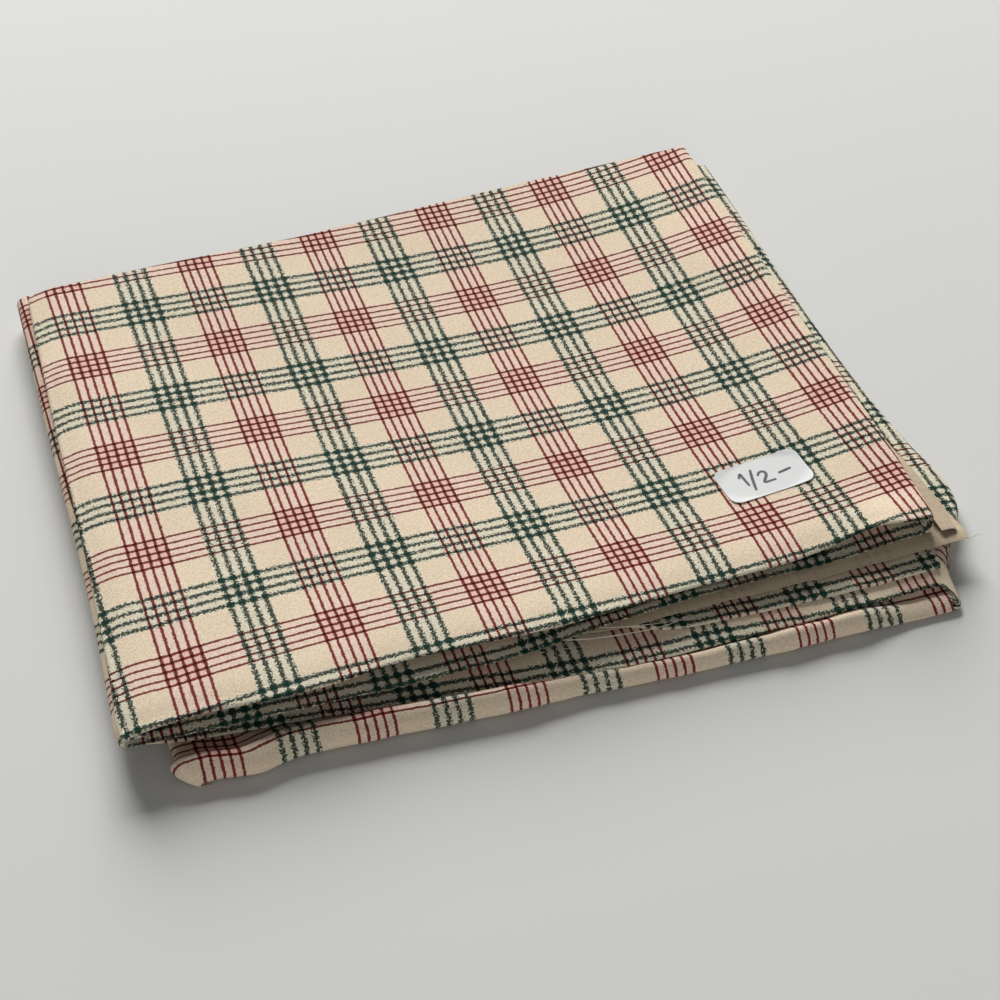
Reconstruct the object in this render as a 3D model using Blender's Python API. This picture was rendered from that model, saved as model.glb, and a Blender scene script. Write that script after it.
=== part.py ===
"""A half-yard cut of quilting cotton, folded into a flat bundle and marked with a small size label.

The cloth is doubled once along its length, so that every leaf of the bundle has two layers and a folded
front edge. It is then folded like an accordion across its width into four leaves, which open one after
the other: bottom leaf, second leaf, third leaf, top leaf.

Axes: +X along the long side to the right, +Y from the folded front edge to the cut back edge, +Z up.
The origin is the middle of the bundle's box, at the bottom. Units are metres.
"""

import math

import bmesh
import bpy
from mathutils import Vector

# --- Driving sizes ------------------------------------------------------------------------------------

# The cloth
LAYER = 0.0017            # height that one loose layer of the folded cloth takes up
LAYER_GAP = 0.0003        # air between two touching layers, and between a layer and its fold
FOLD_GAP = 0.0006         # air between a leaf's end and the fold that turns it over

# The bundle in plan
LEAF_LENGTH = 0.2758      # plain length of the third leaf along X, between the folds at its two ends
LEAF_DEPTH = 0.2285       # plain depth of the top leaf along Y, behind its front fold
RIGHT_STEP = 0.0120       # the lower pair of leaves reaches this much further right than the upper pair
TOP_OVERHANG = 0.0045     # the top leaf reaches this much further left than the folded ends under it
BOTTOM_INSET = 0.0080     # the bottom leaf's free end stands this much inside those folded ends

# How far the other leaves' front edges lie ahead of the top leaf's (+ is towards the viewer)
BOTTOM_AHEAD = 0.0165
SECOND_AHEAD = 0.0080
THIRD_AHEAD = -0.0020

# Folds
FRONT_FOLD_DEPTH = 0.0037  # how far a pressed front fold stands out
ROLL_DEPTH = 0.0145        # the loose roll along the front of the bottom leaf
ROLL_LEFT_HEIGHT = 0.0078
ROLL_RIGHT_HEIGHT = 0.0058
END_FOLD_DEPTH = 0.0062    # how far a fold at a leaf's end stands out
TURNED_END_DEPTH = 0.0034  # the top leaf's turned-under end
FOLD_SIDES = 16

# Heights between the leaves
LEAF_AIR = 0.0003         # between the bottom and the second leaf
CORNER_AIR = 0.0003       # above and below the turned-back cut edge
CORNER_LAYER = 0.0009     # the single layer of that edge
LENS_AIR = 0.0013         # the soft opening under the top leaf

# The turned-back cut edge, which shows its plain side
CORNER_LENGTH = 0.1890
CORNER_DEPTH = 0.0590
CORNER_OUT = 0.0014       # its right end, past the right ends of the lower leaves
CORNER_AHEAD = 0.0030     # its cut edge, ahead of the top leaf's front edge

# The size label
LABEL_LENGTH = 0.0315
LABEL_WIDTH = 0.0175
LABEL_CORNER = 0.0035
LABEL_THICKNESS = 0.0002
LABEL_FROM_RIGHT = 0.0468  # its middle, from the top leaf's right end
LABEL_FROM_FRONT = 0.0339  # its middle, from the top leaf's front edge
LABEL_TURN = math.radians(4.5)
CORNER_STEPS = 4

# Loose threads of the cut edge
THREAD_DIAMETER = 0.0004
THREAD_POINTS = 14
THREAD_GAP = 0.0004       # between a thread and the edge that it comes from

# Clearance of each hinge line from the outermost cloth beside it
HINGE_CLEARANCE = 0.0014

# --- Levels and edges that follow ---------------------------------------------------------------------

LEAF_HEIGHT = 2 * LAYER + LAYER_GAP

BOTTOM_Z = 0.0
SECOND_Z = BOTTOM_Z + LEAF_HEIGHT + LEAF_AIR
CORNER_Z = SECOND_Z + LEAF_HEIGHT + CORNER_AIR
THIRD_Z = CORNER_Z + CORNER_LAYER + CORNER_AIR
TOP_Z = THIRD_Z + LEAF_HEIGHT + LENS_AIR
STACK_HEIGHT = TOP_Z + LEAF_HEIGHT
LABEL_Z = STACK_HEIGHT + LAYER_GAP
BUNDLE_HEIGHT = LABEL_Z + LABEL_THICKNESS

TURNED_END = LAYER_GAP + TURNED_END_DEPTH
END_FOLD = FOLD_GAP + END_FOLD_DEPTH
BUNDLE_LENGTH = TURNED_END + TOP_OVERHANG + LEAF_LENGTH + RIGHT_STEP + END_FOLD
BUNDLE_DEPTH = LEAF_DEPTH + BOTTOM_AHEAD + LAYER_GAP + ROLL_DEPTH

TOP_LEFT_X = -BUNDLE_LENGTH / 2 + TURNED_END
LEFT_END_X = TOP_LEFT_X + TOP_OVERHANG
BOTTOM_LEFT_X = LEFT_END_X + BOTTOM_INSET
UPPER_RIGHT_X = LEFT_END_X + LEAF_LENGTH
LOWER_RIGHT_X = UPPER_RIGHT_X + RIGHT_STEP
BACK_Y = BUNDLE_DEPTH / 2
TOP_FRONT_Y = BACK_Y - LEAF_DEPTH

# Hinge lines stand at half the height of the bundle, so that what is opened lies on the table
HINGE_Z = BUNDLE_HEIGHT / 2
LEFT_HINGE_X = TOP_LEFT_X - TURNED_END - HINGE_CLEARANCE
RIGHT_HINGE_X = LOWER_RIGHT_X + END_FOLD + HINGE_CLEARANCE
TOP_HINGE_X = UPPER_RIGHT_X + END_FOLD + 3 * HINGE_CLEARANCE

# --- Finishes: name, colour, roughness ----------------------------------------------------------------

PRINTED = ("cotton_print", (0.86, 0.80, 0.70, 1.0), 0.92)
PLAIN = ("cotton_plain_side", (0.78, 0.70, 0.60, 1.0), 0.95)
PAPER = ("label_paper", (0.93, 0.93, 0.92, 1.0), 0.75)
THREAD = ("cotton_thread", (0.83, 0.78, 0.72, 1.0), 0.90)


# --- Helpers ------------------------------------------------------------------------------------------

def clear_scene():
    for obj in list(bpy.data.objects):
        bpy.data.objects.remove(obj, do_unlink=True)


def new_collection(name):
    group = bpy.data.collections.new(name)
    bpy.context.scene.collection.children.link(group)
    return group


def new_material(owner, finish):
    """A material of the piece's own, made from one of the finishes above."""
    name, color, roughness = finish
    material = bpy.data.materials.new(f"{owner}_{name}")
    material.use_nodes = True
    shader = material.node_tree.nodes["Principled BSDF"]
    shader.inputs["Base Color"].default_value = color
    shader.inputs["Roughness"].default_value = roughness
    shader.inputs["Metallic"].default_value = 0.0
    return material


def hinge_line(name, x, parent=None):
    """An empty on a hinge line, which runs along Y at half the bundle's height."""
    pivot = bpy.data.objects.new(name, None)
    pivot.empty_display_size = LEAF_HEIGHT
    here = Vector((x, 0.0, HINGE_Z))
    pivot.location = here
    if parent is not None:
        pivot.parent = parent
        pivot.location = here - Vector((parent["line_x"], 0.0, HINGE_Z))
    pivot["line_x"] = x
    PARTS.objects.link(pivot)
    return pivot


def add_piece(name, data, finish, pivot):
    """A piece whose shape is drawn in the bundle's axes, hung on the hinge line that moves it."""
    piece = bpy.data.objects.new(name, data)
    data.materials.append(new_material(name, finish))
    if pivot is not None:
        piece.parent = pivot
        piece.location = (-pivot["line_x"], 0.0, -HINGE_Z)
    PARTS.objects.link(piece)
    return piece


def layer(name, left, right, front, back, z, height, finish, pivot):
    """One flat layer of cloth: a cube, sized and set in place."""
    mesh = bpy.data.meshes.new(name)
    shape = bmesh.new()
    bmesh.ops.create_cube(shape, size=1.0)
    bmesh.ops.scale(shape, vec=(right - left, back - front, height), verts=shape.verts)
    middle = ((left + right) / 2, (front + back) / 2, z + height / 2)
    bmesh.ops.translate(shape, vec=middle, verts=shape.verts)
    shape.to_mesh(mesh)
    shape.free()
    return add_piece(name, mesh, finish, pivot)


def fold(name, start, end, depth, start_height, end_height, finish, pivot):
    """A fold of cloth: a round bar from start to end, pressed to its depth and heights.

    start and end are (x, y, z) of its lowest line, which lies flat, so the bar's middle rises with its height.
    """
    start = Vector(start)
    end = Vector(end)
    length = (end - start).length
    shape = bmesh.new()
    bmesh.ops.create_cone(shape, cap_ends=True, segments=FOLD_SIDES, radius1=start_height / 2,
                          radius2=end_height / 2, depth=length)
    along_x = abs(end.x - start.x) > abs(end.y - start.y)
    for vert in shape.verts:
        share = vert.co.z / length + 0.5
        height = start_height + share * (end_height - start_height)
        across = vert.co.x / height * depth
        up = vert.co.y + height / 2
        spot = start.lerp(end, share)
        if along_x:
            vert.co = spot + Vector((0.0, across, up))
        else:
            vert.co = spot + Vector((-across, 0.0, up))
    mesh = bpy.data.meshes.new(name)
    shape.to_mesh(mesh)
    shape.free()
    mesh.shade_smooth()
    mesh.set_sharp_from_angle(angle=math.radians(50))
    return add_piece(name, mesh, finish, pivot)


# --- Pieces -------------------------------------------------------------------------------------------

def leaf(name, left, right, front, z, pivot):
    """Two layers of cloth, one on the other, behind the leaf's front edge."""
    upper_z = z + LAYER + LAYER_GAP
    layer(f"{name}_lower_layer", left, right, front, BACK_Y, z, LAYER, PRINTED, pivot)
    layer(f"{name}_upper_layer", left, right, front, BACK_Y, upper_z, LAYER, PRINTED, pivot)


def front_fold(name, left, right, front, z, pivot):
    """The pressed fold that joins a leaf's two layers along its front edge."""
    y = front - LAYER_GAP - FRONT_FOLD_DEPTH / 2
    fold(name, (left, y, z), (right, y, z), FRONT_FOLD_DEPTH, LEAF_HEIGHT, LEAF_HEIGHT, PRINTED, pivot)


def end_fold(name, x, front, z, height, depth, pivot):
    """The fold at a leaf's end that turns the cloth over into the next leaf."""
    fold(name, (x, front, z), (x, BACK_Y, z), depth, height, height, PRINTED, pivot)


def size_label(pivot):
    """A paper label with round corners, stuck on the top leaf."""
    half_length = LABEL_LENGTH / 2 - LABEL_CORNER
    half_width = LABEL_WIDTH / 2 - LABEL_CORNER
    outline = bpy.data.curves.new("size_label", "CURVE")
    outline.dimensions = "2D"
    outline.fill_mode = "BOTH"
    outline.extrude = LABEL_THICKNESS / 2
    points = []
    for quarter, (side_x, side_y) in enumerate(((1, 1), (-1, 1), (-1, -1), (1, -1))):
        for step in range(CORNER_STEPS + 1):
            angle = (quarter + step / CORNER_STEPS) * math.pi / 2
            x = side_x * half_length + LABEL_CORNER * math.cos(angle)
            y = side_y * half_width + LABEL_CORNER * math.sin(angle)
            points.append((x * math.cos(LABEL_TURN) - y * math.sin(LABEL_TURN),
                           x * math.sin(LABEL_TURN) + y * math.cos(LABEL_TURN)))
    spline = outline.splines.new("POLY")
    spline.points.add(len(points) - 1)
    for point, (x, y) in zip(spline.points, points):
        point.co = (x, y, 0.0, 1.0)
    spline.use_cyclic_u = True
    label = add_piece("size_label", outline, PAPER, pivot)
    middle = Vector((UPPER_RIGHT_X - LABEL_FROM_RIGHT, TOP_FRONT_Y + LABEL_FROM_FRONT,
                     LABEL_Z + LABEL_THICKNESS / 2))
    label.location = middle + label.location
    return label


def loose_thread(name, start, reach, wave, pivot):
    """A thread pulled out of the cut edge: from start it runs on by reach (x, y), weaving sideways."""
    strand = bpy.data.curves.new(name, "CURVE")
    strand.dimensions = "3D"
    strand.bevel_depth = THREAD_DIAMETER / 2
    strand.bevel_resolution = 2
    strand.use_fill_caps = True
    spline = strand.splines.new("POLY")
    spline.points.add(THREAD_POINTS - 1)
    aim = Vector((reach[0], reach[1], 0.0))
    side = Vector((-aim.y, aim.x, 0.0)).normalized()
    for index, point in enumerate(spline.points):
        share = index / (THREAD_POINTS - 1)
        spot = Vector(start) + aim * share + side * (wave * math.sin(2 * math.pi * share) * share)
        point.co = (*spot, 1.0)
    return add_piece(name, strand, THREAD, pivot)


# --- The bundle ---------------------------------------------------------------------------------------

def bottom_leaf():
    """It lies on the table: the cloth's free end, with a loose roll along the front."""
    right = LOWER_RIGHT_X
    front = TOP_FRONT_Y - BOTTOM_AHEAD
    leaf("bottom", BOTTOM_LEFT_X, right, front, BOTTOM_Z, None)
    y = front - LAYER_GAP - ROLL_DEPTH / 2
    fold("bottom_front_roll", (BOTTOM_LEFT_X, y, BOTTOM_Z), (right, y, BOTTOM_Z), ROLL_DEPTH,
         ROLL_LEFT_HEIGHT, ROLL_RIGHT_HEIGHT, PRINTED, None)
    height = SECOND_Z + LEAF_HEIGHT
    x = right + FOLD_GAP + END_FOLD_DEPTH / 2
    end_fold("right_lower_fold", x, front, BOTTOM_Z, height, END_FOLD_DEPTH, None)


def second_leaf(pivot):
    front = TOP_FRONT_Y - SECOND_AHEAD
    leaf("second", LEFT_END_X, LOWER_RIGHT_X, front, SECOND_Z, pivot)
    front_fold("second_front_fold", LEFT_END_X, LOWER_RIGHT_X, front, SECOND_Z, pivot)
    height = THIRD_Z + LEAF_HEIGHT - SECOND_Z
    x = LEFT_END_X - FOLD_GAP - END_FOLD_DEPTH / 2
    end_fold("left_fold", x, front, SECOND_Z, height, END_FOLD_DEPTH, pivot)


def turned_back_edge(pivot):
    """A single layer of the cut edge, turned back over the second leaf so that its plain side shows."""
    right = LOWER_RIGHT_X + CORNER_OUT
    left = right - CORNER_LENGTH
    front = TOP_FRONT_Y - CORNER_AHEAD
    layer("turned_back_edge", left, right, front, front + CORNER_DEPTH, CORNER_Z, CORNER_LAYER, PLAIN, pivot)
    y = front - THREAD_GAP - THREAD_DIAMETER
    z = CORNER_Z + CORNER_LAYER / 2
    loose_thread("loose_thread_front", (left + 0.052, y, z), (0.038, -0.0012), 0.0006, pivot)
    loose_thread("loose_thread_corner", (right - 0.005, y, z), (0.0085, -0.0030), 0.0008, pivot)


def third_leaf(pivot):
    front = TOP_FRONT_Y - THIRD_AHEAD
    leaf("third", LEFT_END_X, UPPER_RIGHT_X, front, THIRD_Z, pivot)
    front_fold("third_front_fold", LEFT_END_X, UPPER_RIGHT_X, front, THIRD_Z, pivot)
    height = TOP_Z + LAYER - THIRD_Z
    x = UPPER_RIGHT_X + FOLD_GAP + END_FOLD_DEPTH / 2
    end_fold("right_upper_fold", x, TOP_FRONT_Y, THIRD_Z, height, END_FOLD_DEPTH, pivot)


def top_leaf(pivot):
    leaf("top", TOP_LEFT_X, UPPER_RIGHT_X, TOP_FRONT_Y, TOP_Z, pivot)
    front_fold("top_front_fold", TOP_LEFT_X, UPPER_RIGHT_X, TOP_FRONT_Y, TOP_Z, pivot)
    x = TOP_LEFT_X - LAYER_GAP - TURNED_END_DEPTH / 2
    end_fold("top_turned_end", x, TOP_FRONT_Y, TOP_Z, LEAF_HEIGHT, TURNED_END_DEPTH, pivot)
    size_label(pivot)


clear_scene()
PARTS = new_collection("folded_cotton_cut")
SECOND_HINGE = hinge_line("second_leaf_hinge", RIGHT_HINGE_X)
THIRD_HINGE = hinge_line("third_leaf_hinge", LEFT_HINGE_X, SECOND_HINGE)
TOP_HINGE = hinge_line("top_leaf_hinge", TOP_HINGE_X, THIRD_HINGE)

bottom_leaf()
second_leaf(SECOND_HINGE)
turned_back_edge(SECOND_HINGE)
third_leaf(THIRD_HINGE)
top_leaf(TOP_HINGE)
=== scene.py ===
# %% [markdown]
# # A folded half-yard of plaid quilting cotton
#
# The object is one cut of printed cotton, doubled along its length and then folded like an accordion into
# four leaves that lie on each other. A small paper size label is stuck on the top leaf.
#
# Cloth could be simulated, but a stack of eight layers that touch everywhere takes a solver far longer than
# it takes to describe the folds. So each leaf here is a surface worked out as a formula: a profile that
# runs from the cut edge at the back, round the fold at the front and back again, carried along the leaf's
# length.

# %% Load the fixed frame
import math

import bpy
import numpy as np
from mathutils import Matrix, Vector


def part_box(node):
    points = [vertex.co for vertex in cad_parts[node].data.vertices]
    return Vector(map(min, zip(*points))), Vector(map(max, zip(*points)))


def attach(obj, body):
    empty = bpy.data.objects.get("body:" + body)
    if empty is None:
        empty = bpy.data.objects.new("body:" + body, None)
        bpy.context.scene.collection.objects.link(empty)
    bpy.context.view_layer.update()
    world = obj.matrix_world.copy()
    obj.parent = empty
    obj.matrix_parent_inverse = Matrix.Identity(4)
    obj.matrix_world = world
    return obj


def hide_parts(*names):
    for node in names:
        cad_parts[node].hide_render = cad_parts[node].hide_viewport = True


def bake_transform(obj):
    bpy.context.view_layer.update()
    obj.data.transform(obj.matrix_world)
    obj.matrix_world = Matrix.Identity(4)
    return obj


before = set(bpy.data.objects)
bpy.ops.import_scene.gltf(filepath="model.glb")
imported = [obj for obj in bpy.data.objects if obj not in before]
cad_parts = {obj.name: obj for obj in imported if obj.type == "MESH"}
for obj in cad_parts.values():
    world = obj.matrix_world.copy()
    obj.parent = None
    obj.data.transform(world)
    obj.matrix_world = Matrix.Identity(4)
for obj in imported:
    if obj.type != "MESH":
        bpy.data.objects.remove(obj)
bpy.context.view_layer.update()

# %% [markdown]
# ## Units and places
#
# A fold of cloth is a matter of millimetres, so the surfaces are worked out in millimetres and become
# metres only when a mesh is made. The cut edge at the back comes from the frame. The outlines further down
# are written in the frame's own millimetres too, with 0 in the middle of the bundle.

# %% Scale and the cut edge
MM = 0.001
SEED = 11
DETAIL = 1.0


def box_mm(node):
    """Lowest and highest corner of a node's box, in millimetres."""
    low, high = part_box(node)
    return np.array(low) / MM, np.array(high) / MM


top_low, top_high = box_mm("top_upper_layer")
BACK = top_high[1]
print("top leaf from", top_low.round(1), "to", top_high.round(1))

# %% [markdown]
# ## Camera, floor and light
#
# The view looks down at the bundle from its front left with a long lens, so the far edge stays nearly as
# wide as the near one. The floor is a plain pale sheet. One broad lamp behind and above gives the soft
# shadow under the front edge. A weak lamp low at the front and the pale surroundings fill it in.

# %% Camera


def link(name, data):
    """An object that holds data, linked to the scene."""
    thing = bpy.data.objects.new(name, data)
    bpy.context.scene.collection.objects.link(thing)
    return thing


VIEW_AZIMUTH = math.radians(-19.5)
VIEW_ELEVATION = math.radians(43.9)
VIEW_DISTANCE = 0.7147
VIEW_TARGET = np.array([-0.0060, -0.0452, 0.0180])
VIEW_LENS = 75.2


def add_camera():
    """A camera on a sphere round its target: azimuth from the front, elevation above the floor."""
    away = np.array([math.sin(VIEW_AZIMUTH) * math.cos(VIEW_ELEVATION),
                     -math.cos(VIEW_AZIMUTH) * math.cos(VIEW_ELEVATION),
                     math.sin(VIEW_ELEVATION)])
    data = bpy.data.cameras.new("view")
    data.lens = VIEW_LENS
    data.sensor_width = 36.0
    data.clip_end = 20.0
    camera = link("view", data)
    camera.location = VIEW_TARGET + away * VIEW_DISTANCE
    camera.rotation_euler = (math.pi / 2 - VIEW_ELEVATION, 0.0, VIEW_AZIMUTH)
    bpy.context.scene.camera = camera
    return camera


camera = add_camera()
print("camera at", [round(value, 3) for value in camera.location])

# %% Lights and surroundings


def add_area(name, place, aim, size, power):
    """A square lamp at place that faces aim."""
    data = bpy.data.lights.new(name, "AREA")
    data.shape = "SQUARE"
    data.size = size
    data.energy = power
    lamp = link(name, data)
    lamp.location = place
    to_aim = np.array(aim) - np.array(place)
    flat = math.hypot(to_aim[0], to_aim[1])
    lamp.rotation_euler = (math.atan2(flat, -to_aim[2]), 0.0, math.atan2(-to_aim[0], to_aim[1]))
    return lamp


add_area("key_lamp", place=(0.50, 3.40, 1.80), aim=(0.0, 0.0, 0.0), size=2.3, power=272.0)
add_area("front_fill", place=(-0.40, -1.80, 0.45), aim=(0.0, 0.0, 0.02), size=1.3, power=9.0)

ROOM_COLOUR = (1.0, 1.0, 0.985, 1.0)
ROOM_STRENGTH = 0.115
world = bpy.data.worlds.new("pale_room")
world.use_nodes = True
background = world.node_tree.nodes["Background"]
background.inputs["Color"].default_value = ROOM_COLOUR
background.inputs["Strength"].default_value = ROOM_STRENGTH
bpy.context.scene.world = world
bpy.context.scene.view_settings.view_transform = "Standard"
print("lamps", [lamp.name for lamp in bpy.data.lights])

# %% [markdown]
# ## Writing shader maths as sums
#
# A plaid is arithmetic: the distance to the nearest line decides where there is ink. The small class below
# wraps a node socket and overloads the usual operators, so a pattern can be written as one expression, and
# each operator adds its Math node. Every other node comes from one method of the network.

# %% A socket that can be added, multiplied and compared


class Value:
    """A float socket in a node tree. Operators add Math nodes and give back their outputs."""

    def __init__(self, net, socket):
        self.net = net
        self.socket = socket

    def math(self, operation, *others, clamp=False):
        node = self.net.add("ShaderNodeMath", {"operation": operation, "use_clamp": clamp},
                            {index: item for index, item in enumerate((self, *others))})
        return Value(self.net, node.outputs[0])

    def __add__(self, other):
        return self.math("ADD", other)

    __radd__ = __add__

    def __mul__(self, other):
        return self.math("MULTIPLY", other)

    __rmul__ = __mul__

    def __sub__(self, other):
        return self.math("SUBTRACT", other)

    def __rsub__(self, other):
        return (self * -1.0).math("ADD", other)

    def __truediv__(self, other):
        return self.math("DIVIDE", other)

    def __abs__(self):
        return self.math("ABSOLUTE")

    def nearest(self):
        """Distance from the nearest whole number, with its sign, from -0.5 to 0.5."""
        return self - (self + 0.5).math("FLOOR")

    def clamped(self):
        return self.math("ADD", 0.0, clamp=True)

    def sine(self):
        return self.math("SINE")


class Net:
    """The node tree of one material."""

    def __init__(self, name):
        self.material = bpy.data.materials.new(name)
        self.material.use_nodes = True
        self.tree = self.material.node_tree
        self.shader = self.tree.nodes["Principled BSDF"]

    def add(self, kind, settings=None, sockets=None):
        """A node of a kind: its settings are made first, then its sockets take values or links."""
        node = self.tree.nodes.new(kind)
        for key, setting in (settings or {}).items():
            setattr(node, key, setting)
        for key, item in (sockets or {}).items():
            self.feed(node.inputs[key], item)
        return node

    def feed(self, socket, item):
        if isinstance(item, Value):
            item = item.socket
        if isinstance(item, bpy.types.NodeSocket):
            self.tree.links.new(item, socket)
        else:
            socket.default_value = item

    def mix(self, low, high, factor, blend="MIX"):
        """A colour between low and high."""
        node = self.add("ShaderNodeMix", {"data_type": "RGBA", "blend_type": blend},
                        {0: factor, 6: low, 7: high})
        return node.outputs[2]

    def noise(self, vector, scale, detail=2.0, roughness=0.5):
        """Smooth noise from 0 to 1, with about scale bumps to each unit of the vector."""
        node = self.add("ShaderNodeTexNoise", {"noise_dimensions": "3D"},
                        {"Vector": vector, "Scale": scale, "Detail": detail, "Roughness": roughness})
        return Value(self, node.outputs["Fac"])

    def stretched(self, vector, amounts):
        """The vector with each of its axes multiplied."""
        node = self.add("ShaderNodeVectorMath", {"operation": "MULTIPLY"}, {0: vector, 1: amounts})
        return node.outputs[0]

    def bump(self, height, strength, distance):
        node = self.add("ShaderNodeBump", {}, {"Height": height, "Strength": strength, "Distance": distance})
        return node.outputs["Normal"]

    def surface(self, colour, roughness, specular=0.5, normal=None):
        """Feeds the shader and gives back the material."""
        self.feed(self.shader.inputs["Base Color"], colour)
        self.feed(self.shader.inputs["Roughness"], roughness)
        self.feed(self.shader.inputs["Specular IOR Level"], specular)
        if normal is not None:
            self.feed(self.shader.inputs["Normal"], normal)
        return self.material


def srgb(red, green, blue):
    """A colour given as it looks on a screen, 0 to 255, turned into the linear values that shaders use."""
    shown = np.array([red, green, blue]) / 255.0
    linear = np.where(shown <= 0.04045, shown / 12.92, ((shown + 0.055) / 1.055) ** 2.4)
    return (*[float(value) for value in linear], 1.0)


# %% [markdown]
# ## The printed cotton
#
# The print is a windowpane plaid that repeats every 49.5 mm both ways. A red band is five thin lines on a
# faint pink tint, a green band is four thicker lines on a cool tint, and cream lies between them. The inks
# are see-through, so where bands cross, their colours multiply. Green ink sits badly on the weave and
# breaks up into specks, and it pools into a dark knot where two green lines cross.
#
# The pattern reads the piece's own UV map, which holds the place on the flat cloth in metres. So the lines
# run round every fold without a break, as a print does.

# %% Cloth colours and sizes of the print
CREAM = srgb(252, 234, 210)
CREAM_SHADE = srgb(243, 223, 195)
PINK_TINT = srgb(250, 220, 208)
COOL_TINT = srgb(232, 230, 210)
PINK_CROSSING = srgb(250, 236, 232)
RED_INK = srgb(128, 14, 34)
BROWN_INK = srgb(122, 40, 44)
GREEN_INK = srgb(10, 52, 42)
KNOT_INK = srgb(10, 56, 47)
WRONG_SIDE = srgb(214, 197, 172)
WRONG_SIDE_SHADE = srgb(199, 181, 155)
RAW_EDGE = srgb(226, 215, 196)
# The darker raw edge colour is painted shade for the gaps between the cut thread ends.
RAW_EDGE_GAP_SHADE = srgb(186, 170, 146)

REPEAT = 49.5
RED_PITCH = 3.05
RED_LINES = 5
GREEN_PITCH = 3.75
GREEN_LINES = 4
PINK_REACH = 6.7
COOL_REACH = 6.9
LINE_BLEED = 0.28
LINE_WANDER = 0.55
RAGGED = 3.6
GREEN_HALF_WIDTH = 0.76
KNOT_HALF_WIDTH = 1.08
THREAD_SHADE_AND_SLUB_COLOUR = (0.70, 0.67, 0.61, 1.0)
THREAD_PITCH = 0.40
WEAVE_DEPTH = 0.00011


def cloth_coordinates(net):
    """The flat cloth's coordinates in millimetres: the vector, then across (u) and along (v)."""
    uv = net.add("ShaderNodeUVMap", {"uv_map": "cloth"}).outputs["UV"]
    flat = net.stretched(uv, (1000.0, 1000.0, 0.0))
    split = net.add("ShaderNodeSeparateXYZ", {}, {0: flat})
    return flat, Value(net, split.outputs[0]), Value(net, split.outputs[1])


def weave(u, v):
    """Plain weave: each thread lies over, then under, the next. 0 in the gaps, 1 on the crowns."""
    turn = math.pi / THREAD_PITCH
    return ((u * turn).sine() * (v * turn).sine()) * 0.5 + 0.5


def band_lines(position, pitch, count, half_width, softness=0.12):
    """Ink of count lines, pitch apart, centred on position 0: 1 on a line, 0 off it."""
    shift = 0.0 if count % 2 else 0.5
    off_line = abs((position / pitch + shift).nearest()) * pitch
    inside = ((count * pitch / 2 - abs(position)) / 0.2).clamped()
    return ((half_width - off_line) / softness + 0.5).clamped() * inside


def band_tint(position, half_width):
    """The tint between a band's lines, with a soft edge."""
    return ((half_width - abs(position)) / 0.5 + 0.5).clamped()


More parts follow.
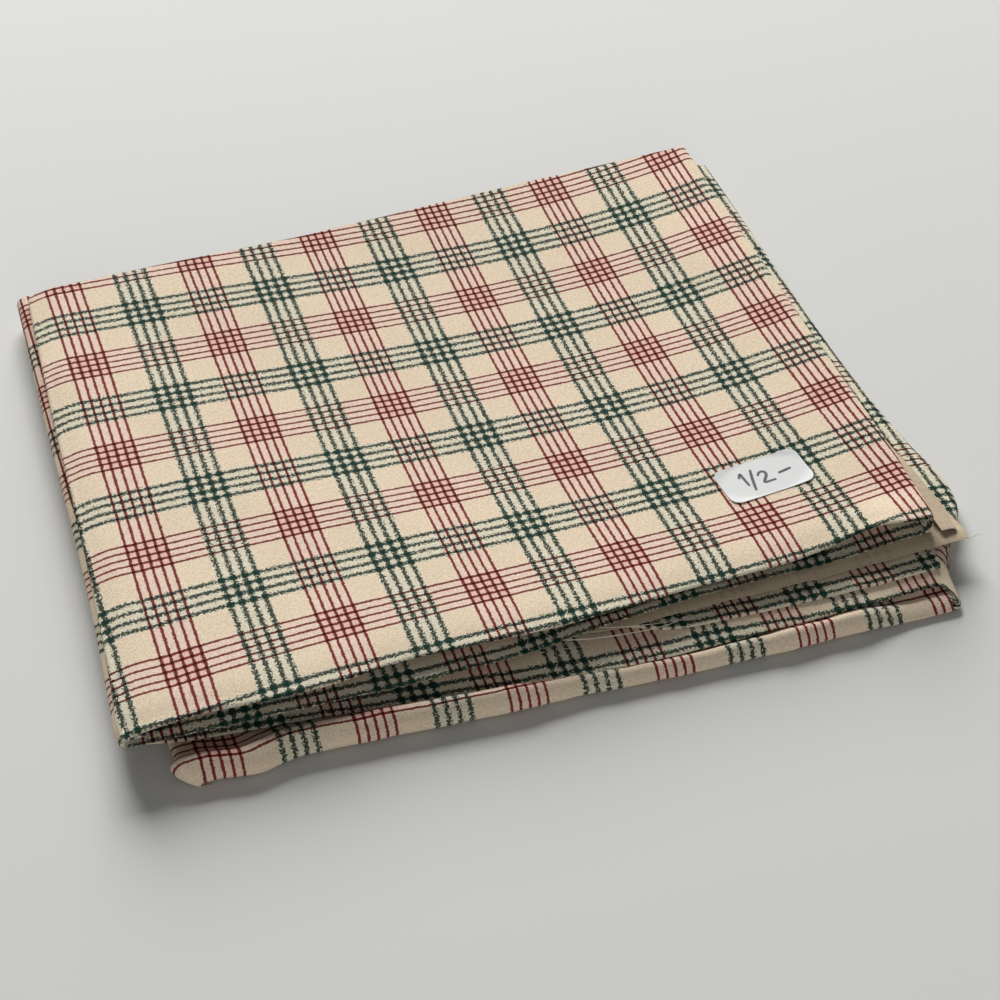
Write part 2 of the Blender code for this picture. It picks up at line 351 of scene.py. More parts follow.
def printed_cotton(name, ghost=1.0, base=CREAM, shade=CREAM_SHADE):
    """Cotton with the plaid. ghost under 1 gives the wrong side, where the print only shows through.

    worn and ragged change the half width of the lines, and holes are bare places in the green ink.
    """
    net = Net(name)
    flat, u, v = cloth_coordinates(net)
    wobble = net.noise(flat, 0.55, 2.0) - 0.5
    grain_u = net.noise(net.stretched(flat, (1.9, 0.50, 1.0)), 1.0, 2.0)
    grain_v = net.noise(net.stretched(flat, (0.50, 1.9, 1.0)), 1.0, 2.0)
    specks = net.noise(flat, 1.55, 3.0, 0.65)
    holes = ((net.noise(flat, 1.3, 1.0) - 0.27) * 9.0).clamped()
    threads = weave(u, v)
    across = u + wobble * LINE_WANDER + (grain_u - 0.5) * LINE_BLEED
    along = v + wobble * LINE_WANDER + (grain_v - 0.5) * LINE_BLEED

    def bands(position):
        """Distances from the middle of the nearest red band and the nearest green band."""
        red_at = (position / REPEAT).nearest() * REPEAT
        green_at = (position / REPEAT + 0.5).nearest() * REPEAT
        return red_at, green_at

    red_u, green_u = bands(across)
    red_v, green_v = bands(along)
    in_red_u, in_red_v = band_tint(red_u, PINK_REACH), band_tint(red_v, PINK_REACH)
    in_green_u, in_green_v = band_tint(green_u, COOL_REACH), band_tint(green_v, COOL_REACH)
    pink = 1.0 - (1.0 - in_red_u * 0.55) * (1.0 - in_red_v * 0.55)
    cool = 1.0 - (1.0 - in_green_u * 0.70) * (1.0 - in_green_v * 0.70)
    lifted = (threads - 0.5) * 0.3
    ragged_u = (net.noise(net.stretched(flat, (1.0, 0.8, 1.0)), 1.35, 2.0) - 0.5) * RAGGED + lifted
    ragged_v = (net.noise(net.stretched(flat, (0.8, 1.1, 1.0)), 1.45, 2.0) - 0.5) * RAGGED + lifted
    worn = (specks - 0.5) * 1.1

    patchy = net.noise(flat, 0.05, 3.0) * 0.9 + (grain_u + grain_v - 1.0) * 1.6
    cloth = net.mix(base, shade, patchy.clamped())
    cloth = net.mix(cloth, PINK_TINT, pink * ghost)
    cloth = net.mix(cloth, COOL_TINT, cool * ghost)
    cloth = net.mix(cloth, PINK_CROSSING, in_red_u * in_red_v * ghost * 0.8, "MULTIPLY")

    red_columns = band_lines(red_u, RED_PITCH, RED_LINES, worn + in_red_v * 0.06 + 0.48)
    red_rows = band_lines(red_v, RED_PITCH, RED_LINES, worn * 0.7 + in_red_u * 0.09 + 0.43)
    row_ink = net.mix(BROWN_INK, RED_INK, in_red_u)
    for cover, ink in ((red_columns, RED_INK), (red_rows, row_ink)):
        cloth = net.mix(cloth, ink, cover * ghost * 0.95, "MULTIPLY")
    for position, ragged in ((green_u, ragged_u), (green_v, ragged_v)):
        cover = band_lines(position, GREEN_PITCH, GREEN_LINES, ragged + GREEN_HALF_WIDTH)
        cloth = net.mix(cloth, GREEN_INK, cover * holes * ghost * 0.93, "MULTIPLY")
    knot_u, knot_v = [band_lines(position, GREEN_PITCH, GREEN_LINES, worn + KNOT_HALF_WIDTH)
                      for position in (green_u, green_v)]
    cloth = net.mix(cloth, KNOT_INK, knot_u * knot_v * ghost * 0.88)

    # Painted shade in the gaps of the weave, together with the yarn's own slubs and fuzz, darkens the cloth.
    slub = ((grain_u + grain_v - 1.0) * 4.5 + 0.5).clamped()
    fuzz = ((net.noise(flat, 1.45, 2.0) - 0.5) * 4.5 + 0.5).clamped()
    thread_shade_and_slubs = (1.0 - threads) * 0.14 + (1.0 - slub) * 0.40 + (1.0 - fuzz) * 0.42
    cloth = net.mix(cloth, THREAD_SHADE_AND_SLUB_COLOUR, thread_shade_and_slubs, "MULTIPLY")

    net.shader.inputs["Sheen Weight"].default_value = 0.02
    net.shader.inputs["Sheen Roughness"].default_value = 0.6
    relief = threads * 0.5 + (grain_u + grain_v) * 1.1
    return net.surface(cloth, threads * -0.08 + 0.94, 0.08, net.bump(relief, 0.8, WEAVE_DEPTH))


cotton_print = printed_cotton("cotton_print_side")
cotton_wrong = printed_cotton("cotton_wrong_side", ghost=0.09, base=WRONG_SIDE, shade=WRONG_SIDE_SHADE)
print("cotton", len(cotton_print.node_tree.nodes), "nodes")

# %% [markdown]
# ## Raw edge, thread, paper and ink
#
# The cut edge shows the ends of the threads: paler than the cloth and rough. The label is smooth sticker
# paper, slightly dimpled by the weave under it. The pen leaves a nearly black line.

# %% The small finishes


def raw_edge():
    """Cut thread ends: pale, with painted shade in the gaps between them."""
    net = Net("cotton_raw_edge")
    flat, u, v = cloth_coordinates(net)
    fibres = net.noise(flat, 3.2, 2.0)
    return net.surface(net.mix(RAW_EDGE_GAP_SHADE, RAW_EDGE, fibres), 0.95, 0.2, net.bump(fibres, 0.6, 0.0001))


def thread_finish():
    """A loose thread: two-ply, so its colour runs in fine slanting stripes."""
    net = Net("loose_cotton_thread")
    place = net.add("ShaderNodeTexCoord").outputs["Object"]
    fibres = net.noise(place, 2600.0, 2.0)
    colour = net.mix(srgb(205, 192, 172), srgb(242, 234, 220), fibres)
    return net.surface(colour, 0.9, normal=net.bump(fibres, 0.5, 0.00004))


def label_paper():
    """White sticker paper with a faint mottle and the weave pressed through."""
    net = Net("label_paper")
    flat, u, v = cloth_coordinates(net)
    mottle = net.noise(flat, 0.35, 3.0)
    fibres = net.noise(flat, 4.0, 2.0)
    colour = net.mix(srgb(208, 209, 208), srgb(220, 220, 218), mottle)
    dimples = net.bump(weave(u, v) * 0.5 + fibres * 0.5, 0.35, 0.00003)
    return net.surface(colour, fibres * 0.12 + 0.50, 0.4, dimples)


def pen_ink():
    """Dried marker ink, a little uneven."""
    net = Net("pen_ink")
    place = net.add("ShaderNodeTexCoord").outputs["Object"]
    patches = net.noise(place, 900.0, 2.0)
    return net.surface(net.mix(srgb(8, 8, 10), srgb(24, 22, 24), patches), patches * 0.2 + 0.45)


cotton_raw = raw_edge()
cotton_thread = thread_finish()
paper = label_paper()
ink = pen_ink()
print("finishes", [material.name for material in (cotton_raw, cotton_thread, paper, ink)])

# %% [markdown]
# ## Curves and noise as formulas
#
# Two tools shape every leaf. A cubic B-spline turns a few control points into a smooth profile: each point
# of the curve is a weighted mean of four neighbours. And a sum of slow sine waves in different directions
# gives the uneven heights of cloth that has been handled.

# %% Shape tools


def smooth(share):
    """The smoothstep curve: 0 below 0, 1 above 1, and 3s^2 - 2s^3 between."""
    share = np.clip(share, 0.0, 1.0)
    return share * share * (3.0 - 2.0 * share)


def hump(distance, reach):
    """A bell: e to the power of minus the square of distance over reach."""
    return np.exp(-(distance / reach) ** 2)


def spline_weights(controls, samples):
    """Weights of a clamped cubic B-spline, a row for each sample, worked out by Cox-de Boor."""
    degree = 3
    inner = np.linspace(0.0, 1.0, controls - degree + 1)
    knots = np.concatenate([np.zeros(degree), inner, np.ones(degree)])
    places = np.linspace(0.0, 1.0, samples)[:, None]
    places[-1] -= 1e-9
    weights = ((places >= knots[:-1]) & (places < knots[1:])).astype(float)
    for order in range(1, degree + 1):
        left = knots[order:-1] - knots[:-order - 1]
        right = knots[order + 1:] - knots[1:-order]
        left_share = np.where(left > 0, (places - knots[:-order - 1]) / np.where(left > 0, left, 1.0), 0.0)
        right_share = np.where(right > 0, (knots[order + 1:] - places) / np.where(right > 0, right, 1.0), 0.0)
        weights = left_share * weights[:, :-1] + right_share * weights[:, 1:]
    return weights


def through(points, x):
    """A smooth curve through a few (x, value) points, by Hermite pieces with averaged slopes."""
    at, value = np.array(points, float).T
    slope = np.gradient(value, at)
    piece = np.clip(np.searchsorted(at, x) - 1, 0, len(at) - 2)
    width = at[piece + 1] - at[piece]
    share = np.clip((x - at[piece]) / width, 0.0, 1.0)
    rest = 1 - share
    left = value[piece] * (1 + 2 * share) * rest ** 2 + slope[piece] * width * share * rest ** 2
    right = value[piece + 1] * share ** 2 * (3 - 2 * share) - slope[piece + 1] * width * share ** 2 * rest
    return left + right


def ripples(x, y, key, longest=95.0, count=7):
    """Sum of sine waves in seeded directions. Each is shorter and lower than the last. About -1 to 1."""
    chance = np.random.default_rng(SEED + key)
    total = 0.0
    for step in range(count):
        length = longest / (1.0 + 0.42 * step)
        heading = chance.uniform(0.0, math.pi)
        phase = chance.uniform(0.0, 2.0 * math.pi)
        run = x * math.cos(heading) + y * math.sin(heading)
        total = total + np.sin(run * 2 * math.pi / length + phase) / (1.0 + 0.5 * step)
    return total / 2.2


print("weights sum to one:", bool(np.allclose(spline_weights(9, 40).sum(axis=1), 1.0)))

# %% [markdown]
# ## From a grid to a piece of cloth
#
# A piece is a grid of points, with a place on the flat cloth for each one. Solidify then gives it the
# thickness of the cotton: the printed side outwards, the plain side inwards and the raw edge along the rim.

# %% Grid to mesh
CLOTH_THICKNESS = 0.34


def grid_mesh(name, points, flat, materials, flip=False):
    """A mesh from a grid of points (rows, columns, 3) in millimetres and flat places (rows, columns, 2).

    The edges round the outside of the grid are sharp, so a cut edge doesn't bend the light beside it.
    """
    rows, columns = points.shape[:2]
    index = np.arange(rows * columns).reshape(rows, columns)
    corners = (index[:-1, :-1], index[:-1, 1:], index[1:, 1:], index[1:, :-1])
    quads = np.stack(corners, axis=-1).reshape(-1, 4)
    if flip:
        quads = quads[:, ::-1]
    mesh = bpy.data.meshes.new(name)
    mesh.vertices.add(rows * columns)
    mesh.vertices.foreach_set("co", (points * MM).astype(np.float32).ravel())
    mesh.loops.add(quads.size)
    mesh.loops.foreach_set("vertex_index", quads.ravel().astype(np.int32))
    mesh.polygons.add(len(quads))
    mesh.polygons.foreach_set("loop_start", np.arange(0, quads.size, 4, dtype=np.int32))
    mesh.update(calc_edges=True)
    cloth = mesh.uv_layers.new(name="cloth")
    cloth.data.foreach_set("uv", (flat.reshape(-1, 2)[quads.ravel()] * MM).astype(np.float32).ravel())
    mesh.polygons.foreach_set("use_smooth", np.ones(len(quads), dtype=bool))
    ends = np.empty(len(mesh.edges) * 2, dtype=np.int32)
    mesh.edges.foreach_get("vertices", ends)
    row, column = np.divmod(ends.reshape(-1, 2), columns)
    outside = [(line == at).all(axis=1) for line, last in ((row, rows - 1), (column, columns - 1))
               for at in (0, last)]
    mesh.edges.foreach_set("use_edge_sharp", np.any(outside, axis=0))
    mesh.update()
    mesh.validate()
    for material in materials:
        mesh.materials.append(material)
    return link(name, mesh)


def cloth_piece(name, points, flat, flip=False):
    """Cloth from a grid whose printed side is its outer side."""
    piece = grid_mesh(name, points, flat, (cotton_print, cotton_wrong, cotton_raw), flip)
    shell = piece.modifiers.new("cloth_thickness", "SOLIDIFY")
    shell.thickness = CLOTH_THICKNESS * MM
    shell.offset = -1.0
    shell.material_offset = 1
    shell.material_offset_rim = 2
    print(name, points.shape[0], "x", points.shape[1], "points")
    return piece


def length_walked(points, axis=0):
    """Distance walked along an axis of the grid, from its first row."""
    step = np.linalg.norm(np.diff(points, axis=axis), axis=-1)
    start = np.zeros_like(np.take(step, [0], axis=axis))
    return np.concatenate([start, np.cumsum(step, axis=axis)], axis=axis)


# %% [markdown]
# ## How the bundle lies
#
# Real folded cloth is not flat. The middle has been pressed down, and the edges stand on their folds. Every
# leaf gets the same share of this dish, so no leaf can pass through its neighbour. The print is bowed too:
# printed cotton is wound on a tube under tension, and its rows seldom stay square to its columns.

# %% The dish, the bow of the print and the outline of each leaf
DISH_DEPTH = 0.20
UNEVENNESS = 0.013


def press(x, y):
    """The share of its full height that the bundle keeps at a place: 1 at the edges, less in the middle."""
    dish = (1 - np.clip(x / 138, -1, 1) ** 2) * (1 - np.clip((y - 8) / 122, -1, 1) ** 2)
    return 1 - DISH_DEPTH * dish + UNEVENNESS * ripples(x, y, 1)


def bow(x, y):
    """How far the print's columns and rows stray from a square grid, in millimetres.

    Both are cubics in a and b, the place in tenths of a metre, held still past the leaf's outline.
    """
    a, b = np.clip(x / 100.0, -1.3, 1.4), np.clip(y / 100.0, -0.85, 1.3)
    columns = -2.7 * a - 0.2 * b - 0.9 * a * b + 1.3 * b * b + 2.0 * a ** 3 + 1.0 * a * b * b - 0.6 * b ** 3
    rows = -0.2 - 5.1 * a - 0.9 * b + 1.8 * a * a - 1.4 * a * b + 1.0 * b * b \
        + 2.6 * a ** 3 + 2.0 * a * a * b + 1.9 * a * b * b + 1.3 * b ** 3
    return columns, rows


TOP_RIM = ((-151, -104.3), (-120, -102.6), (-85, -104.2), (-46, -102.0), (5, -104.6), (44, -103.4),
           (88, -102.8), (104, -101.2), (116, -99.8), (125, -100.2), (132, -101.8))
THIRD_RIM = ((-151, -104.0), (-110, -105.2), (-70, -107.4), (-20, -108.4), (10, -106.8), (40, -105.6),
             (100, -103.6), (131, -101.5))
SECOND_RIM = ((-151, -97), (-125, -102.6), (-90, -106.5), (-58, -110.5), (-14, -115.8), (24, -119.6),
              (72, -120.8), (130, -121.0))
ROLL_RIM = ((-135, -117.5), (-124, -119.5), (-106, -117.6), (-81, -119.0), (-51, -121.6), (-3, -123.8),
            (40, -126.4), (94, -128.2), (135, -129.2))

# The rims above are (x, depth). The outlines below are (depth, x): where a leaf ends at that depth.
TOP_LEFT = ((-105, -149.6), (-70, -146.2), (-40, -144.3), (60, -140.0), (125, -136.5))
TOP_RIGHT = ((-103, 128.0), (-60, 130.6), (0, 131.6), (130, 134.6))
UNDER_LEFT = ((-105, -145.4), (-40, -141.0), (60, -138.0), (130, -135.5))
LOWER_RIGHT = ((-103, 132), (-96, 140), (-80, 145.0), (-55, 142.2), (130, 142.5))
UNDER_RIGHT = ((-128, 120), (-118, 122.5), (-110, 125), *LOWER_RIGHT)
BASE_RIGHT = ((-131, 125.5), (-118, 126), (-110, 127.5), *LOWER_RIGHT)
BASE_LEFT = ((-122, -124.5), (-119, -128), (-114, -131.5), (-106, -133), (-60, -132.5), (130, -130))
TUCK_RIM = ((16, -104.5), (28, -110.0), (50, -112.8), (85, -114.8), (130, -115.5))
TURNED_FRONT = ((-108, -99), (-12, -101.5), (10, -106.0), (43, -106.6), (79, -107.4), (143, -107.9))
TURNED_RIGHT = ((-108, 142.0), (-100, 141.8), (-80, 141.0), (-52, 138.0), (-40, 135))

# %% [markdown]
# ## One leaf
#
# A leaf is the doubled cloth. Its profile starts at the cut edge at the back, runs forward as the lower
# layer, turns at the front rim and runs back as the upper layer. The control heights differ from leaf to
# leaf: the rims are nipped thin, the bottom one stands up as a soft roll, and the second one has an extra
# tuck.

# %% The profile of a leaf
ACROSS = int(150 * DETAIL) + 20
AROUND = int(230 * DETAIL) + 1
TOP_FACE = 17.6


def profile(rim, back, low, high, nose, columns, nip=(1.2, 1.0), roll=None):
    """Control points (depth, height) of a leaf for each column.

    rim and back are the depths of the fold and the cut edge. low and high are the heights of the outer faces
    and nose is the height of the fold. nip gives how far the fold's upper and lower faces are from nose. roll
    is the width and height of a fat fold.
    """
    one = np.ones_like(columns)
    span = back - rim
    inside = [back - 0.18 * span, back - 0.42 * span, back - 0.66 * span]
    lower = [(depth, low) for depth in (back, *inside, rim + 44, rim + 26, rim + 15)]
    if roll is None:
        turn = [(rim + 8, low * 0.75 + (nose - nip[1]) * 0.25), (rim + 3.2, nose - nip[1]),
                (rim + 0.2, nose - nip[1]), (rim - 0.7, nose), (rim + 0.2, nose + nip[0])]
        over = [(rim + 3.0, nose + nip[0]), (rim + 6.0, nose * 0.35 + nip[0] * 0.35 + high * 0.65),
                (rim + 10, high), (rim + 14, high), (rim + 19, high), (rim + 27, high)]
    else:
        width, height = roll
        turn = [(rim + 9, low), (rim + 4.5, low), (rim + 0.9, low), (rim - 1.2, low + height * 0.34),
                (rim + 0.5, low + height * 0.80)]
        over = [(rim + width * 0.36, low + height * 1.10), (rim + width * 0.66, low + height * 1.12),
                (rim + width * 0.90, low + np.minimum(height * 0.92, 4.4)),
                (rim + width * 1.10 + 1.0, high + 0.4), (rim + width * 1.35 + 3.0, high),
                (rim + width * 1.6 + 5.0, high)]
    upper = [(depth, high) for depth in (rim + 44, *inside[::-1], back)]
    controls = lower + turn + over + upper
    depth = np.stack([point[0] * one for point in controls])
    height = np.stack([point[1] * one for point in controls])
    return depth, height


def leaf_surface(columns, depth, height, left, right):
    """Points (rows, columns, 3) from a profile, before the dish.

    Each row is a B-spline mean of the control points, and a column's x lies at its share between the left and
    right outline at that depth.
    """
    weights = spline_weights(len(depth), AROUND)
    y, z = weights @ depth, weights @ height
    x_left, x_right = through(left, y), through(right, y)
    x = x_left + (columns[None, :] + 0.5) * (x_right - x_left)
    return np.stack([x, y, z], axis=-1)


LEAF_SPREAD = 282.0
CROWDING = 0.035
share = np.linspace(-0.5, 0.5, ACROSS)
share = share - CROWDING * np.sin(2 * math.pi * share)
near = share * LEAF_SPREAD
back_line = BACK - 0.9 + 0.6 * np.sin(near / 23.0)


def rim_line(points, key):
    """A rim's depth at every column: a smooth curve with small seeded ripples."""
    return through(points, near) + 0.35 * ripples(near, near * 0.3, key, 40.0)


top_back = back_line - 4.5 + near * 0.016 + 3.3 * smooth((near - 5) / 125)
top_profile = profile(rim_line(TOP_RIM, 3), top_back, 14.2, TOP_FACE, 16.2, near, nip=(0.75, 0.75))
top = leaf_surface(share, *top_profile, TOP_LEFT, TOP_RIGHT)
third_nose = 11.4 + 2.1 * smooth((near + 5) / 35) - 2.6 * smooth((near - 60) / 50)
third_profile = profile(rim_line(THIRD_RIM, 4), back_line - 1.5, 9.2, 12.6, third_nose, near, nip=(0.7, 0.8))
third = leaf_surface(share, *third_profile, UNDER_LEFT, TOP_RIGHT)
second_rim = rim_line(SECOND_RIM, 5)
second_profile = profile(second_rim, back_line, 4.1, 7.0, 5.5, near, nip=(0.6, 0.6))
second = leaf_surface(share, *second_profile, UNDER_LEFT, UNDER_RIGHT)
roll_rim = rim_line(ROLL_RIM, 6)
roll_width = np.clip(second_rim - roll_rim, 3.4, 11.0)
roll_height = np.clip(roll_width * 0.86, 4.5, 7.6) * (1 - 0.57 * smooth((near - 98) / 30))
bottom_profile = profile(roll_rim, back_line - 0.8, 0.15, 3.6, 2.0, near, roll=(roll_width, roll_height))
bottom = leaf_surface(share, *bottom_profile, BASE_LEFT, BASE_RIGHT)
for name, surface in (("top", top), ("third", third), ("second", second), ("bottom", bottom)):
    print(name, "from", surface.min(axis=(0, 1)).round(1), "to", surface.max(axis=(0, 1)).round(1))


# %% [markdown]
# ## Where each leaf lies on the flat cloth
#
# The print must run on from leaf to leaf. Round a front rim the place on the cloth is the length walked
# along the profile. Round an end fold the cloth turns over, so the next leaf counts its columns backwards.

# %% Places on the flat cloth


def rows_on_cloth(points, rim_at):
    """v: the length along the profile, counted from the front rim, so that the rim is at rim_at."""
    walked = length_walked(points, 0)
    rim_row = np.argmin(points[:, :, 1], axis=0)
    at_rim = np.take_along_axis(walked, rim_row[None, :], axis=0)
    return walked - at_rim + rim_at


RED_COLUMN = -124.25
RED_ROW = -81.5


def flat_place(columns_at, rows_at, bowed=None):
    """UV in millimetres, with 0 on a red column and a red row. bowed is the points whose print is bowed."""
    columns_off, rows_off = bow(bowed[:, :, 0], bowed[:, :, 1]) if bowed is not None else (0.0, 0.0)
    return np.stack([columns_at - columns_off - RED_COLUMN, rows_at - rows_off - RED_ROW], axis=-1)


THIRD_SHIFT = 13.5
SECOND_SHIFT = 6.35
BOTTOM_SHIFT = -1.85
flat_top = flat_place(top[:, :, 0], rows_on_cloth(top, top[:, :, 1].min(axis=0)), top)
flat_third = flat_place(third[:, :, 0] + THIRD_SHIFT, rows_on_cloth(third, -105.0))
second_rim_at = -106.2 + 5 * smooth((second[:, :, 0] - 30) / 70)
flat_second = flat_place(second[:, :, 0] + SECOND_SHIFT, rows_on_cloth(second, second_rim_at))
flat_bottom = flat_place(bottom[:, :, 0] + BOTTOM_SHIFT, rows_on_cloth(bottom, -96.0))


def settle(points):
    """The dish: every height times the share kept at its place."""
    settled = points.copy()
    settled[:, :, 2] = settled[:, :, 2] * press(settled[:, :, 0], settled[:, :, 1])
    return settled


RIM_LIFT = 3.2
END_SLOPE = 1.7


def rim_lift(x, y):
    """How far the top leaf's rim stands up over the open end of the fold under it."""
    return RIM_LIFT * hump(x - 116, 15) * hump(y + 104, 14)


def edge_lift(points):
    """The top leaf's upper layer: its rim stands up at the right front, and its left end slopes down."""
    x, y, z = points[:, :, 0], points[:, :, 1], points[:, :, 2]
    from_left = x - through(TOP_LEFT, y)
    lift = rim_lift(x, y) * smooth((z - 13.5) / 2.5)
    return lift - END_SLOPE * (1 - np.clip(from_left / 10, 0, 1)) ** 2 * smooth((z - 14) / 3)


print("cloth from", flat_top.min(axis=(0, 1)).round(0), "to", flat_top.max(axis=(0, 1)).round(0))

# %% [markdown]
# ## End folds and the turned end
#
# At each end of the bundle one leaf turns into the next. Both layers go round together, the outer one on a
# wide bend and the inner one on a narrow bend inside it. The two share the front rim, so one grid makes the
# whole end: its rows are the rows of the leaf, and its columns go round from one leaf to the next.

# %% Shapes of the ends


def end_fold(below, above, side, bulge, count=25):
    """A grid from an end column of one leaf round to the matching end column of the next (rows, count, 3).

    below and above are (rows, 3). Each row is a B-spline that leaves below outwards, goes round and comes
    back into above. bulge is how far the bend reaches, for each row.
    """
    out = np.zeros_like(below)
    out[:, 0] = side
    reach = bulge[:, None]
    rise = above - below
    controls = np.stack([below, below + out * reach * 0.45, below + out * reach * 1.05 + rise * 0.06,
                         below + rise * 0.5 + out * reach * 1.22,
                         above + out * reach * 1.05 - rise * 0.06, above + out * reach * 0.45, above])
    return np.einsum("ck,krd->rcd", spline_weights(7, count), controls)


def end_flat(flat_above, points, side):
    """Flat places that run on from the upper leaf: the print goes round the bend by the length walked."""
    walked = length_walked(points, 1)
    left_to_go = walked[:, -1:] - walked
    return flat_above[:, None, :] + np.stack([side * left_to_go, 0 * left_to_go], axis=-1)


def bulge_rows(outer, inner):
    """Wide on the lower layer's rows, narrow on the upper layer's rows."""
    part = smooth((np.linspace(0, 1, AROUND) - 0.36) / 0.22)
    return outer + (inner - outer) * part


def turned_end(points, flat, radius, hem=7.0, count=12):
    """Extra columns to the left of a leaf: the end bends down by half a turn and runs back a little as a hem.

    radius is half the drop, for each row; a negative one bends up.
    """
    edge, edge_flat = points[:, 0], flat[:, 0]
    radius = radius[:, None]
    angle = np.linspace(0, math.pi, count)[None, 1:]
    bend_x = -np.abs(radius) * np.sin(angle) * 1.35
    bend_z = -radius * (1 - np.cos(angle))
    hem_x = np.linspace(0, hem, 4)[None, 1:] * np.ones_like(radius)
    dx = np.concatenate([bend_x, hem_x], axis=1)
    dz = np.concatenate([bend_z, bend_z[:, -1:] + 0 * hem_x], axis=1)
    grid = edge[:, None, :] + np.stack([dx, 0 * dx, dz], axis=-1)
    walked = np.concatenate([np.abs(radius) * angle, np.abs(radius) * math.pi + hem_x], axis=1)
    place = edge_flat[:, None, :] - np.stack([walked, 0 * walked], axis=-1)
    return np.concatenate([grid[:, ::-1], points], axis=1), np.concatenate([place[:, ::-1], flat], axis=1)


lifted_top = top.copy()
lifted_top[:, :, 2] += edge_lift(top)
right_upper = end_fold(third[:, -1], lifted_top[::-1, -1], 1.0, bulge_rows(outer=3.1, inner=1.8))
left_fold = end_fold(second[:, 0], third[::-1, 0], -1.0, bulge_rows(outer=5.8, inner=3.2))
right_lower = end_fold(bottom[:, -1], second[::-1, -1], 1.0, bulge_rows(outer=4.6, inner=2.6))
flat_right_upper = end_flat(flat_top[::-1, -1], right_upper, 1.0)
flat_left = end_flat(flat_third[::-1, 0], left_fold, -1.0)
flat_right_lower = end_flat(flat_second[::-1, -1], right_lower, 1.0)
upper_share = smooth((np.linspace(0, 1, AROUND) - 0.34) / 0.30)
wrapped_top, flat_wrapped_top = turned_end(lifted_top, flat_top, 1.75 * upper_share - 0.45)
half_height = np.maximum(bottom[:, 0, 2] / 2 - 0.15, 0.05)
closed_bottom, flat_closed_bottom = turned_end(bottom, flat_bottom, half_height, hem=2.0)

# %% [markdown]
# ## Build the cloth pieces
#
# Each leaf rides on its own body. An end fold belongs to two leaves. Here it is baked in place and rides on
# neither body, and the bodies and heights listed with each fold are not used.

top_leaf = cloth_piece("top_leaf_cloth", settle(wrapped_top), flat_wrapped_top)
third_leaf = cloth_piece("third_leaf_cloth", settle(third), flat_third)
second_leaf = cloth_piece("second_leaf_cloth", settle(second), flat_second)
bottom_leaf = cloth_piece("bottom_leaf_cloth", settle(closed_bottom), flat_closed_bottom)
leaves = ((top_leaf, "top_leaf", ("top_lower_layer", "top_upper_layer", "top_front_fold", "top_turned_end")),
          (third_leaf, "third_leaf", ("third_lower_layer", "third_upper_layer", "third_front_fold")),
          (second_leaf, "second_leaf", ("second_lower_layer", "second_upper_layer", "second_front_fold")),
          (bottom_leaf, "bottom_leaf", ("bottom_lower_layer", "bottom_upper_layer", "bottom_front_roll")))
for piece, body, nodes in leaves:
    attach(piece, body)
    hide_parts(*nodes)

folds = (("right_upper_fold", right_upper, flat_right_upper, "third_leaf", "top_leaf", 12.9, 13.9),
         ("left_fold", left_fold, flat_left, "second_leaf", "third_leaf", 7.2, 9.0),
         ("right_lower_fold", right_lower, flat_right_lower, "bottom_leaf", "second_leaf", 3.7, 4.05))
for node, points, places, low_body, high_body, start, end in folds:
    piece = cloth_piece(node + "_cloth", settle(points), places, flip=node == "left_fold")
    start * MM
    end * MM
    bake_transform(piece)
    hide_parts(node)

# %% [markdown]
# ## The turned-back piece, the tuck and the inner loop
#
# Three loose parts of the second leaf show at the front. One ply is turned back on itself, so its plain
# wrong side faces up and its cut edge shows. Under it the leaf has a second tuck, a narrow fold that runs
# out to nothing in the middle. At the right a small loop of the same ply stands open between the two end
# folds.

# %% Loose plies of the second leaf
cross = np.linspace(0.0, 1.0, int(130 * DETAIL) + 12)
TURNED_LEFT = -108
TUCK_LEFT = 14
TUCK_SPREAD = ((-116, 113), (-108, 115), (-92, 117))


def turned_back_surface():
    """A ply between a deep line and a front line: it rises a little under the third leaf and dips at its
    edge."""
    x_guide = TURNED_LEFT + 250 * cross
    front = through(TURNED_FRONT, x_guide) + 0.25 * ripples(x_guide, 0 * x_guide, 8, 22.0)
    one = np.ones_like(cross)
    depth = np.stack([-44 * one, -60 * one, -76 * one, -88 * one, front + 11, front + 6, front + 2.5, front])
    right_end = smooth((x_guide - 122) / 14)
    height = np.stack([7.9 * one, 7.9 * one, 7.9 * one, 8.1 * one, 9.2 - 0.9 * right_end,
                       10.1 - 0.8 * right_end, 9.7 * one, 8.9 + 0.5 * right_end])
    weights = spline_weights(8, int(46 * DETAIL) + 8)
    y, z = weights @ depth, weights @ height
    x = TURNED_LEFT + cross * (through(TURNED_RIGHT, y) - TURNED_LEFT)
    x = x + 0.25 * smooth(cross * 9 - 8) * ripples(y, 0 * y, 9, 9.0)
    return np.stack([x, y, z], axis=-1)


turned = turned_back_surface()
turned_flat = flat_place(turned[:, :, 0] - 8.0, turned[:, :, 1])
turned_back = cloth_piece("turned_back_cloth", settle(turned), turned_flat)


def tuck_surface():
    """A narrow doubled ply: back edge, lower face, rim, upper face, back edge. It runs out at the left."""
    x_guide = TUCK_LEFT + 114 * cross
    rim = through(TUCK_RIM, x_guide) + 0.25 * ripples(x_guide, 0 * x_guide, 12, 30.0)
    one = np.ones_like(cross)
    depth = np.stack([-92 * one, -99 * one, rim + 5, rim + 1.2, rim - 0.5, rim - 0.5, rim + 1.2, rim + 5,
                      -99 * one, -92 * one])
    height = np.stack([7.25, 7.2, 7.0, 6.8, 6.8, 7.9, 8.15, 7.9, 7.75, 7.75])[:, None] * one
    weights = spline_weights(10, int(50 * DETAIL) + 10)
    y, z = weights @ depth, weights @ height
    x = TUCK_LEFT + cross * through(TUCK_SPREAD, y)
    return np.stack([x, y, z], axis=-1)


TUCK_SHIFT = 20.0
tuck = tuck_surface()
tuck_flat = flat_place(tuck[:, :, 0] + TUCK_SHIFT, rows_on_cloth(tuck, -106.2))
tuck_piece = cloth_piece("second_leaf_tuck_cloth", settle(tuck), tuck_flat)

